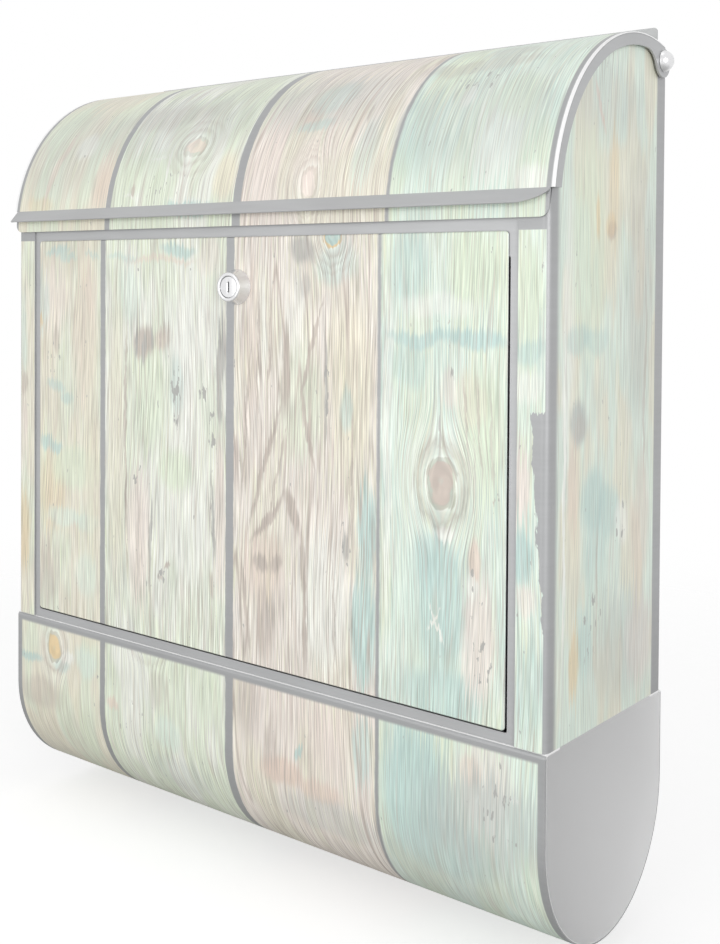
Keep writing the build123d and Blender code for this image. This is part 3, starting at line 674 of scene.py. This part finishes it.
def make_film(name, settings, lay):
    """Plank film on steel sheet. lay gives the print, where it covers the sheet, and where light is painted on: a
    painted highlight on the lid's bends and painted light inside the tube.
    """
    material, board, shader = new_material(name)
    place, x, y, z = millimetre_place(board)
    colour, film, bright = lay(board, x, y, z)
    steel = sheet_shade(board, place, settings.bare)
    film_and_painted_light = film
    # Painted light: where the bright mask is set, the steel turns pale and loses its metal look.
    if bright is not None:
        steel = board.mix(bright, steel, tuple(settings.pale) + (1.0,))
        film_and_painted_light = board.math("MAXIMUM", film, bright)
    speckle = board.noise(place, scale=0.9)
    board.feed(shader.inputs["Base Color"], board.mix(film, steel, colour))
    board.feed(shader.inputs["Metallic"], board.ramp(film_and_painted_light, 1.0, 0.0, settings.sheen))
    board.feed(shader.inputs["Roughness"], board.math("MULTIPLY_ADD", speckle, 0.14, 0.38))
    bump = board.node("ShaderNodeBump", {"Height": speckle, "Strength": 0.1, "Distance": 0.1 * MM})
    board.feed(shader.inputs["Normal"], bump.outputs[0])
    shader.inputs["Coat Weight"].default_value = settings.gloss
    shader.inputs["Coat Roughness"].default_value = 0.2
    return material


def make_metal(name, colour, roughness, metallic):
    """Plain sheet or turned metal with rolling streaks and uneven polish."""
    material, board, shader = new_material(name)
    place = millimetre_place(board)[0]
    fine = board.noise(place, scale=1.6)
    board.feed(shader.inputs["Base Color"], sheet_shade(board, place, colour))
    board.feed(shader.inputs["Roughness"], board.math("MULTIPLY_ADD", fine, roughness * 0.5, roughness * 0.75))
    shader.inputs["Metallic"].default_value = metallic
    bump = board.node("ShaderNodeBump", {"Height": fine, "Strength": 0.05, "Distance": 0.05 * MM})
    board.feed(shader.inputs["Normal"], bump.outputs[0])
    return material


def dress(node, material):
    """Gives a solid of the frame this finish."""
    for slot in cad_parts[node].material_slots:
        slot.material = material


def cylinder_run(board, y, z, centre_y, centre_z, radius, side):
    """Length along a sheet that is flat on one side of the centre line and round on the other, and
    the distance from the centre. side is 1 for a curve above the centre line and -1 for one below it."""
    rise = board.math("MULTIPLY", board.math("SUBTRACT", z, centre_z), float(side))
    ahead = board.math("SUBTRACT", centre_y, y)
    angle = board.math("MAXIMUM", board.math("ARCTAN2", rise, ahead), 0.0)
    flat = board.math("MINIMUM" if side > 0 else "MAXIMUM", z, centre_z)
    along = board.math("MULTIPLY_ADD", angle, side * radius, flat)
    up = board.math("MAXIMUM", rise, 0.0)
    out = board.math("SQRT", board.math("ADD", board.math("MULTIPLY", ahead, ahead), board.math("MULTIPLY", up, up)))
    return along, out


def palette(shade, note, red, green, blue):
    """Colour setting."""
    return bpy.props.FloatVectorProperty(name=shade, description=note, subtype="COLOR", size=3, min=0, max=1,
                                         default=tone(red, green, blue))


class FilmSettings(bpy.types.PropertyGroup):
    """Colours of the printed planks, of the steel below them, and of painted light and shade."""

    straw: palette("Straw", "Left plank", 231, 225, 203)
    sage: palette("Sage", "Second plank and green wash", 221, 233, 209)
    blush: palette("Blush", "Third plank and pink wash", 238, 225, 217)
    mint: palette("Mint", "Right plank", 219, 235, 223)
    turquoise: palette("Turquoise", "Old blue-green paint", 187, 213, 208)
    peach: palette("Peach", "Warm bare wood", 229, 208, 194)
    amber: palette("Amber", "Resin stains", 231, 205, 160)
    umber: palette("Umber", "Dark grain", 188, 176, 167)
    crack: palette("Crack", "Open cracks", 172, 171, 168)
    chalk: palette("Chalk", "Pale worn paint", 244, 246, 239)
    clay: palette("Clay", "Middle of the knots", 211, 195, 185)
    # Grey stain and painted shade: mostly laid as broad patches that darken the print where less light falls (lid top,
    # tube underside and right end, lower side); a few small patches are grey stains.
    grey_stain_and_shade: palette("Slate", "Weathered grey wash", 181, 189, 187)
    # Painted light: this pale colour is no real coat; it is a painted highlight along the lid's bends and painted
    # light on the inside of the tube.
    pale: palette("Pale coat", "Bright bends of the lid and the inside of the tube", 250, 250, 250)
    bare: palette("Bare sheet", "Steel between the planks and along the bends", 168, 169, 170)
    steel: palette("Steel", "Plain sheets, lip and frame", 182, 183, 184)
    sheen: bpy.props.FloatProperty(name="Sheen", description="How metallic the bare sheet looks", subtype="FACTOR",
                                   min=0, max=1, default=0.3)
    gloss: bpy.props.FloatProperty(name="Gloss", description="Clear layer over the print", subtype="FACTOR",
                                   min=0, max=1, default=0.12)

    def colours(self):
        """Print colours by name, with their alpha."""
        names = ("straw", "sage", "blush", "mint", "turquoise", "peach", "amber", "umber", "crack", "chalk",
                 "clay", "grey_stain_and_shade")
        return {name: tuple(getattr(self, name)) + (1.0,) for name in names}


class LockSettings(bpy.types.PropertyGroup):
    """Sizes of the lock's turned barrel and its key slot."""

    base_diameter: bpy.props.FloatProperty(
        name="Base", description="Across the foot on the door", unit="LENGTH", default=20.0 * MM)
    face_diameter: bpy.props.FloatProperty(
        name="Face", description="Across the flat front", unit="LENGTH", default=16.4 * MM)
    slot_width: bpy.props.FloatProperty(
        name="Slot width", description="Across the key slot", unit="LENGTH", default=1.3 * MM)
    slot_length: bpy.props.FloatProperty(
        name="Slot length", description="Along the key slot", unit="LENGTH", default=6.0 * MM)


class StageSettings(bpy.types.PropertyGroup):
    """Floor, lamps and camera."""

    camera_place: bpy.props.FloatVectorProperty(
        name="Camera place", description="Where the camera stands", subtype="TRANSLATION", unit="LENGTH",
        size=3, default=(0.46853, -0.6695, 0.09121))
    camera_yaw: bpy.props.FloatProperty(
        name="Yaw", description="Turn of the view from straight ahead", subtype="ANGLE", default=math.radians(-41.656))
    camera_pitch: bpy.props.FloatProperty(
        name="Pitch", description="Tilt of the view", subtype="ANGLE", default=math.radians(-1.182))
    camera_roll: bpy.props.FloatProperty(
        name="Roll", description="Turn about the line of sight", subtype="ANGLE", default=math.radians(0.227))
    focal_pixels: bpy.props.FloatProperty(
        name="Focal length", description="In pixels of the picture", default=1281.68)
    sight_across: bpy.props.FloatProperty(
        name="Sight across", description="Picture column that looks straight ahead", default=222.0)
    sight_down: bpy.props.FloatProperty(
        name="Sight down", description="Picture row that looks straight ahead", default=302.26)
    floor_drop: bpy.props.FloatProperty(
        name="Floor drop", description="Gap between the tube and the floor", unit="LENGTH", default=0.012)
    floor_colour: bpy.props.FloatVectorProperty(
        name="Floor", description="Pale floor", subtype="COLOR", size=3, min=0, max=1, default=(0.6, 0.6, 0.6))
    floor_lift: bpy.props.FloatProperty(
        name="Floor lift", description="White added to the floor in the picture", min=0, default=0.57)
    sky: bpy.props.FloatProperty(
        name="Sky", description="Strength of the even light from all round", min=0, default=0.58)


class MAILBOX_OT_plank_film(bpy.types.Operator):
    """Print the outer sheets with weathered planks"""

    bl_idname = "mailbox.plank_film"
    bl_label = "Plank Film"

    def execute(self, context):
        settings = context.scene.mailbox_film
        colours = settings.colours()
        door_tree = make_plank_group("door_planks", DOOR_PRINT, colours)
        strip_tree = make_plank_group("strip_planks", STRIP_PRINT, colours)
        lid_tree = make_plank_group("lid_planks", LID_PRINT, colours)
        tube_tree = make_plank_group("tube_planks", TUBE_PRINT, colours)
        side_tree = make_plank_group("side_plank", SIDE_PRINT, colours)

        def on_door(board, x, y, z):
            printed = board.group(door_tree, across=x, along=z)
            outer = board.ramp(y, DOOR_FRONT + 0.6, DOOR_FRONT + 0.4)
            return printed["Colour"], board.math("MULTIPLY", printed["film"], outer), None

        def on_lid(board, x, y, z):
            along, out = cylinder_run(board, y, z, LID_CENTRE, LID_SKIRT, LID_RADIUS, 1)
            printed = board.group(lid_tree, across=board.math("SUBTRACT", x, 5.0), along=along)
            outer = board.ramp(out, LID_RADIUS - 0.6, LID_RADIUS - 0.4)
            wide = board.math("ABSOLUTE", x)
            ends = board.ramp(wide, LID_HALF_WIDTH - 4.0, LID_HALF_WIDTH - 4.8)
            film = board.math("MULTIPLY", board.math("MULTIPLY", outer, ends), printed["film"])
            # Painted highlight: a pale band along the lid's ends stands in for the light caught by the bend into the
            # cheek.
            painted_bend_highlight = board.math("MULTIPLY", outer, board.ramp(wide, LID_HALF_WIDTH - 2.2, LID_HALF_WIDTH - 1.4))
            return printed["Colour"], film, painted_bend_highlight

        def on_tube(board, x, y, z):
            along, out = cylinder_run(board, y, z, -TUBE_RADIUS, TUBE_CENTRE, TUBE_RADIUS, -1)
            printed = board.group(tube_tree, across=x, along=along)
            outer = board.ramp(out, TUBE_RADIUS - 0.6, TUBE_RADIUS - 0.4)
            ends = board.ramp(board.math("ABSOLUTE", x), CASE_HALF_WIDTH - 3.6, CASE_HALF_WIDTH - 4.2)
            top = board.ramp(z, TUBE_TOP - 4.0, TUBE_TOP - 6.0)
            film = board.math("MULTIPLY", board.math("MULTIPLY", outer, ends), top)
            film = board.math("MULTIPLY", film, board.ramp(y, TUBE_PRINT_END + 0.5, TUBE_PRINT_END))
            # Painted light: the tube's inner surface takes the pale colour, far lighter than steel, to stand in for
            # light that hardly reaches inside.
            inside = board.ramp(out, TUBE_RADIUS - 0.7, TUBE_RADIUS - 0.9)
            return printed["Colour"], board.math("MULTIPLY", film, printed["film"]), inside

        def on_side(board, x, y, z):
            depth = board.math("SUBTRACT", y, CASE_FRONT)
            wide = board.math("ABSOLUTE", x)
            on_front = board.ramp(depth, 0.6, 0.4)
            strip = board.band(wide, STRIP_INNER + 0.5, CASE_HALF_WIDTH - 2.0, 0.4)
            strip = board.math("MULTIPLY", strip, board.ramp(z, DOOR_TOP + 0.4, DOOR_TOP))
            flank = board.ramp(wide, CASE_HALF_WIDTH - 0.6, CASE_HALF_WIDTH - 0.4)
            run = board.math("MULTIPLY", board.ramp(depth, 6.0, 11.0), board.ramp(depth, 117.4, 117.0))
            front = board.group(strip_tree, across=x, along=z)
            side = board.group(side_tree, across=depth, along=z)
            colour = board.mix(flank, front["Colour"], side["Colour"])
            cover = board.math("ADD", board.math("MULTIPLY", on_front, strip), board.math("MULTIPLY", flank, run))
            film = board.math("MULTIPLY", cover, board.blend(flank, front["film"], side["film"]))
            return colour, film, None

        side_film = make_film("side_film", settings, on_side)
        dress("door_panel", make_film("door_film", settings, on_door))
        dress("lid_skin", make_film("lid_film", settings, on_lid))
        dress("newspaper_tube", make_film("tube_film", settings, on_tube))
        dress("side_panel_left", side_film)
        dress("side_panel_right", side_film)
        return {"FINISHED"}


class MAILBOX_OT_steel(bpy.types.Operator):
    """Finish the plain sheets, the fasteners and the bright fittings"""

    bl_idname = "mailbox.steel"
    bl_label = "Steel And Fittings"

    def execute(self, context):
        settings = context.scene.mailbox_film
        finishes = {
            "grey_steel": make_metal("grey_sheet", settings.steel, 0.42, settings.sheen),
            "zinc_steel": make_metal("zinc_plate", tone(186, 188, 190), 0.34, 0.8),
            "bright_metal": make_metal("bright_nickel", tone(228, 228, 229), 0.24, 0.7),
        }
        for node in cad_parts.values():
            for slot in node.material_slots:
                finish = slot.material.name.split(".")[0]
                if finish in finishes:
                    slot.material = finishes[finish]
        return {"FINISHED"}


RING_POINTS = 64
SHEET = 1.0 * MM
BORE = 6.05 * MM
PLUG = 6.0 * MM
SHANK = 8.0 * MM
SHANK_FLAT = 6.5 * MM
THREAD_PITCH = 1.0 * MM
THREAD_DEPTH = 0.35 * MM
SLOT_DEPTH = 4.0 * MM
TAIL = 3.5 * MM
TAIL_LENGTH = 2.0 * MM


def turned_ring(place, radius, depth, half_flat=None):
    """Round ring about the lock's axis, at this depth behind the door's face, with two flats where asked for."""
    ring = []
    for index in range(RING_POINTS):
        angle = 2 * math.pi * (index + 0.5) / RING_POINTS
        x, z = radius * math.cos(angle), radius * math.sin(angle)
        if half_flat:
            x = max(-half_flat, min(half_flat, x))
        ring.append(place + Vector((x, depth, z)))
    return ring


def square_ring(place, half_width, half_height, depth):
    """Ring with straight sides about the lock's axis."""
    ring = []
    for index in range(RING_POINTS):
        angle = 2 * math.pi * (index + 0.5) / RING_POINTS
        across, up = math.cos(angle), math.sin(angle)
        scale = min(half_width / abs(across), half_height / abs(up))
        ring.append(place + Vector((across * scale, depth, up * scale)))
    return ring


def skin_rings(name, rings, closed):
    """Mesh object over a row of rings, joined up into a loop or capped at both ends."""
    shape = bmesh.new()
    rows = [[shape.verts.new(point) for point in ring] for ring in rings]
    pairs = list(zip(rows, rows[1:] + rows[:1])) if closed else list(zip(rows, rows[1:]))
    for first, second in pairs:
        for index in range(RING_POINTS):
            after = (index + 1) % RING_POINTS
            shape.faces.new((first[index], first[after], second[after], second[index]))
    if not closed:
        shape.faces.new(rows[0])
        shape.faces.new(rows[-1])
    bmesh.ops.recalc_face_normals(shape, faces=shape.faces)
    mesh = bpy.data.meshes.new(name)
    shape.to_mesh(mesh)
    shape.free()
    mesh.shade_smooth()
    mesh.set_sharp_from_angle(angle=math.radians(40))
    piece = bpy.data.objects.new(name, mesh)
    bpy.context.scene.collection.objects.link(piece)
    return piece


class MAILBOX_OT_lock(bpy.types.Operator):
    """Turn the lock's rounded barrel with its threaded shank, and the plug with its key slot"""

    bl_idname = "mailbox.lock"
    bl_label = "Lock"

    def execute(self, context):
        settings = context.scene.mailbox_lock
        low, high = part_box("lock_housing")
        door_face = DOOR_FRONT * MM
        place = Vector(((low.x + high.x) / 2, door_face, (low.z + high.z) / 2))
        self.turn_barrel(settings, place, low.y - door_face, high.y - door_face)
        low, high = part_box("lock_plug")
        self.turn_plug(settings, place, low.y - door_face, high.y - door_face)
        return {"FINISHED"}

    def turn_barrel(self, settings, place, front, rear):
        """Bell shaped barrel on the door, bored for the plug, with a flatted and threaded shank behind."""
        face, base = settings.face_diameter / 2, settings.base_diameter / 2
        outline = [(BORE + 0.1 * MM, front + 0.25 * MM), (BORE + 0.4 * MM, front), (face - 0.8 * MM, front),
                   (face - 0.3 * MM, front + 0.15 * MM), (face, front + 0.55 * MM)]
        for share in (0.15, 0.3, 0.5, 0.7, 0.85, 0.95, 1.0):
            flare = face + (base - face) * share ** 1.6
            outline.append((flare, (front + 0.55 * MM) * (1 - share) - 0.3 * MM * share))
        outline.append((base - 0.1 * MM, 0.0))
        rings = [turned_ring(place, radius, depth) for radius, depth in outline]
        turns = int((rear - SHEET) / THREAD_PITCH)
        rings.append(turned_ring(place, SHANK, 0.0, SHANK_FLAT))
        rings.append(turned_ring(place, SHANK, SHEET, SHANK_FLAT))
        for turn in range(turns):
            depth = SHEET + turn * THREAD_PITCH
            rings.append(turned_ring(place, SHANK - THREAD_DEPTH, depth + 0.4 * THREAD_PITCH, SHANK_FLAT))
            rings.append(turned_ring(place, SHANK, depth + 0.9 * THREAD_PITCH, SHANK_FLAT))
        rings.append(turned_ring(place, SHANK - THREAD_DEPTH, rear, SHANK_FLAT))
        rings.append(turned_ring(place, BORE, rear))
        barrel = skin_rings("lock_barrel", rings, closed=True)
        barrel.data.materials.append(bpy.data.materials["bright_nickel"])
        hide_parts("lock_housing")
        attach(barrel, "door")

    def turn_plug(self, settings, place, front, rear):
        """Plug with a key slot in its face and a square tail for the cam."""
        wide, tall = settings.slot_width / 2, settings.slot_length / 2
        edge = 0.2 * MM
        rings = [
            square_ring(place, wide, tall, front + SLOT_DEPTH),
            square_ring(place, wide, tall, front + edge),
            square_ring(place, wide + edge, tall + edge, front),
            turned_ring(place, PLUG - 0.6 * MM, front),
            turned_ring(place, PLUG - 0.2 * MM, front + 0.1 * MM),
            turned_ring(place, PLUG, front + 0.5 * MM),
            turned_ring(place, PLUG, rear - TAIL_LENGTH),
            square_ring(place, TAIL, TAIL, rear - TAIL_LENGTH),
            square_ring(place, TAIL, TAIL, rear),
        ]
        plug = skin_rings("lock_key_plug", rings, closed=False)
        plug.data.materials.append(bpy.data.materials["bright_nickel"])
        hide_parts("lock_plug")
        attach(plug, "lock")


def aim(position, target):
    """Turn that points a lamp at a place."""
    return (Vector(target) - Vector(position)).to_track_quat("-Z", "Y").to_euler()


class MAILBOX_OT_stage(bpy.types.Operator):
    """Set the floor, the lamps, the sky and the camera"""

    bl_idname = "mailbox.stage"
    bl_label = "Stage"

    def execute(self, context):
        settings = context.scene.mailbox_stage
        scene = context.scene
        scene.view_settings.view_transform = "Standard"
        self.lay_floor(scene, settings)
        self.hang_lamps(scene)
        self.paint_sky(scene, settings)
        self.stand_camera(scene, settings)
        return {"FINISHED"}

    def lay_floor(self, scene, settings):
        """Pale disc under the tube that fades out to the background and keeps the shadow."""
        mesh = bpy.data.meshes.new("floor")
        shape = bmesh.new()
        bmesh.ops.create_circle(shape, cap_ends=True, segments=96, radius=3.0)
        bmesh.ops.translate(shape, verts=shape.verts, vec=(0, 0, CAD_BOX[0].z - settings.floor_drop))
        shape.to_mesh(mesh)
        shape.free()
        floor = bpy.data.objects.new("floor", mesh)
        scene.collection.objects.link(floor)
        material, board, shader = new_material("pale_floor")
        place = board.node("ShaderNodeTexCoord").outputs["Object"]
        level = board.node("ShaderNodeVectorMath", {0: place, 1: (1.0, 1.0, 0.0)}, operation="MULTIPLY").outputs[0]
        far = board.node("ShaderNodeVectorMath", {0: level}, operation="LENGTH").outputs["Value"]
        grain = board.noise(place, scale=60.0)
        board.feed(shader.inputs["Base Color"], board.brighten(tuple(settings.floor_colour), board.sway(grain, 0.03, 1.0)))
        shader.inputs["Roughness"].default_value = 0.9
        shader.inputs["Specular IOR Level"].default_value = 0.1
        shader.inputs["Emission Color"].default_value = (1.0, 1.0, 1.0, 1.0)
        seen = board.node("ShaderNodeLightPath").outputs["Is Camera Ray"]
        board.feed(shader.inputs["Emission Strength"], board.math("MULTIPLY", seen, settings.floor_lift))
        clear = board.node("ShaderNodeBsdfTransparent").outputs[0]
        faded = board.node("ShaderNodeMixShader", {0: board.ramp(far, 0.3, 1.0), 1: shader.outputs[0], 2: clear})
        output = next(n for n in material.node_tree.nodes if n.type == "OUTPUT_MATERIAL")
        board.feed(output.inputs["Surface"], faded.outputs[0])
        mesh.materials.append(material)

    def hang_lamps(self, scene):
        """Three soft boxes: a wide one ahead, one to the right that also reaches into the tube, one overhead."""
        centre = (CAD_BOX[0] + CAD_BOX[1]) / 2
        boxes = (
            ("key_box", (-0.25, -1.8, 0.2), 1.3, 8.0),
            ("side_box", (1.45, -1.05, 0.3), 0.8, 10.5),
            ("top_box", (0.1, -0.4, 1.7), 1.0, 1.4),
        )
        for name, place, size, power in boxes:
            lamp = bpy.data.lights.new(name, "AREA")
            lamp.shape = "SQUARE"
            lamp.size = size
            lamp.energy = power
            lamp_object = bpy.data.objects.new(name, lamp)
            lamp_object.location = place
            lamp_object.rotation_euler = aim(place, centre)
            scene.collection.objects.link(lamp_object)

    def paint_sky(self, scene, settings):
        """White where the camera or a reflection sees it, and an even light elsewhere."""
        world = bpy.data.worlds.new("studio_sky")
        world.use_nodes = True
        board = Board(world.node_tree)
        sight = board.node("ShaderNodeLightPath").outputs
        seen = board.math("MAXIMUM", sight["Is Camera Ray"], sight["Is Glossy Ray"])
        seen = board.math("MAXIMUM", seen, sight["Is Transmission Ray"])
        background = next(n for n in world.node_tree.nodes if n.type == "BACKGROUND")
        background.inputs["Color"].default_value = (1.0, 1.0, 1.0, 1.0)
        board.feed(background.inputs["Strength"], board.blend(seen, settings.sky, 1.0))
        scene.world = world

    def stand_camera(self, scene, settings):
        """Camera with a shifted picture, so that upright edges keep their run."""
        yaw, pitch, roll = settings.camera_yaw, settings.camera_pitch, settings.camera_roll
        ahead = Vector((math.sin(yaw) * math.cos(pitch), math.cos(yaw) * math.cos(pitch), math.sin(pitch)))
        right = Vector((math.cos(yaw), -math.sin(yaw), 0.0))
        up = right.cross(ahead)
        level = Matrix((right, up, -ahead)).transposed()
        camera = bpy.data.cameras.new("camera")
        camera.sensor_width = SENSOR_WIDTH
        longest = max(PICTURE_WIDTH, PICTURE_HEIGHT)
        camera.lens = settings.focal_pixels / longest * SENSOR_WIDTH
        camera.shift_x = (PICTURE_WIDTH / 2 - settings.sight_across) / longest
        camera.shift_y = (settings.sight_down - PICTURE_HEIGHT / 2) / longest
        camera_object = bpy.data.objects.new("camera", camera)
        turn = level @ Matrix.Rotation(roll, 3, "Z")
        camera_object.matrix_world = Matrix.Translation(Vector(settings.camera_place)) @ turn.to_4x4()
        scene.collection.objects.link(camera_object)
        scene.camera = camera_object


class MAILBOX_PT_sidebar(bpy.types.Panel):
    """Settings and steps of the mailbox"""

    bl_idname = "MAILBOX_PT_sidebar"
    bl_label = "Mailbox"
    bl_space_type = "VIEW_3D"
    bl_region_type = "UI"
    bl_category = "Mailbox"

    def draw(self, context):
        for operator in OPERATORS:
            self.layout.operator(operator.bl_idname)
        scene = context.scene
        for settings in (scene.mailbox_film, scene.mailbox_lock, scene.mailbox_stage):
            column = self.layout.column()
            for name in settings.__annotations__:
                column.prop(settings, name)


OPERATORS = (MAILBOX_OT_plank_film, MAILBOX_OT_steel, MAILBOX_OT_lock, MAILBOX_OT_stage)
CLASSES = (FilmSettings, LockSettings, StageSettings) + OPERATORS + (MAILBOX_PT_sidebar,)


def register():
    for cls in CLASSES:
        bpy.utils.register_class(cls)
    bpy.types.Scene.mailbox_film = bpy.props.PointerProperty(type=FilmSettings)
    bpy.types.Scene.mailbox_lock = bpy.props.PointerProperty(type=LockSettings)
    bpy.types.Scene.mailbox_stage = bpy.props.PointerProperty(type=StageSettings)


def unregister():
    del bpy.types.Scene.mailbox_stage
    del bpy.types.Scene.mailbox_lock
    del bpy.types.Scene.mailbox_film
    for cls in reversed(CLASSES):
        bpy.utils.unregister_class(cls)


def main():
    register()
    bpy.ops.mailbox.plank_film()
    bpy.ops.mailbox.steel()
    bpy.ops.mailbox.lock()
    bpy.ops.mailbox.stage()


if __name__ == "__main__":
    main()
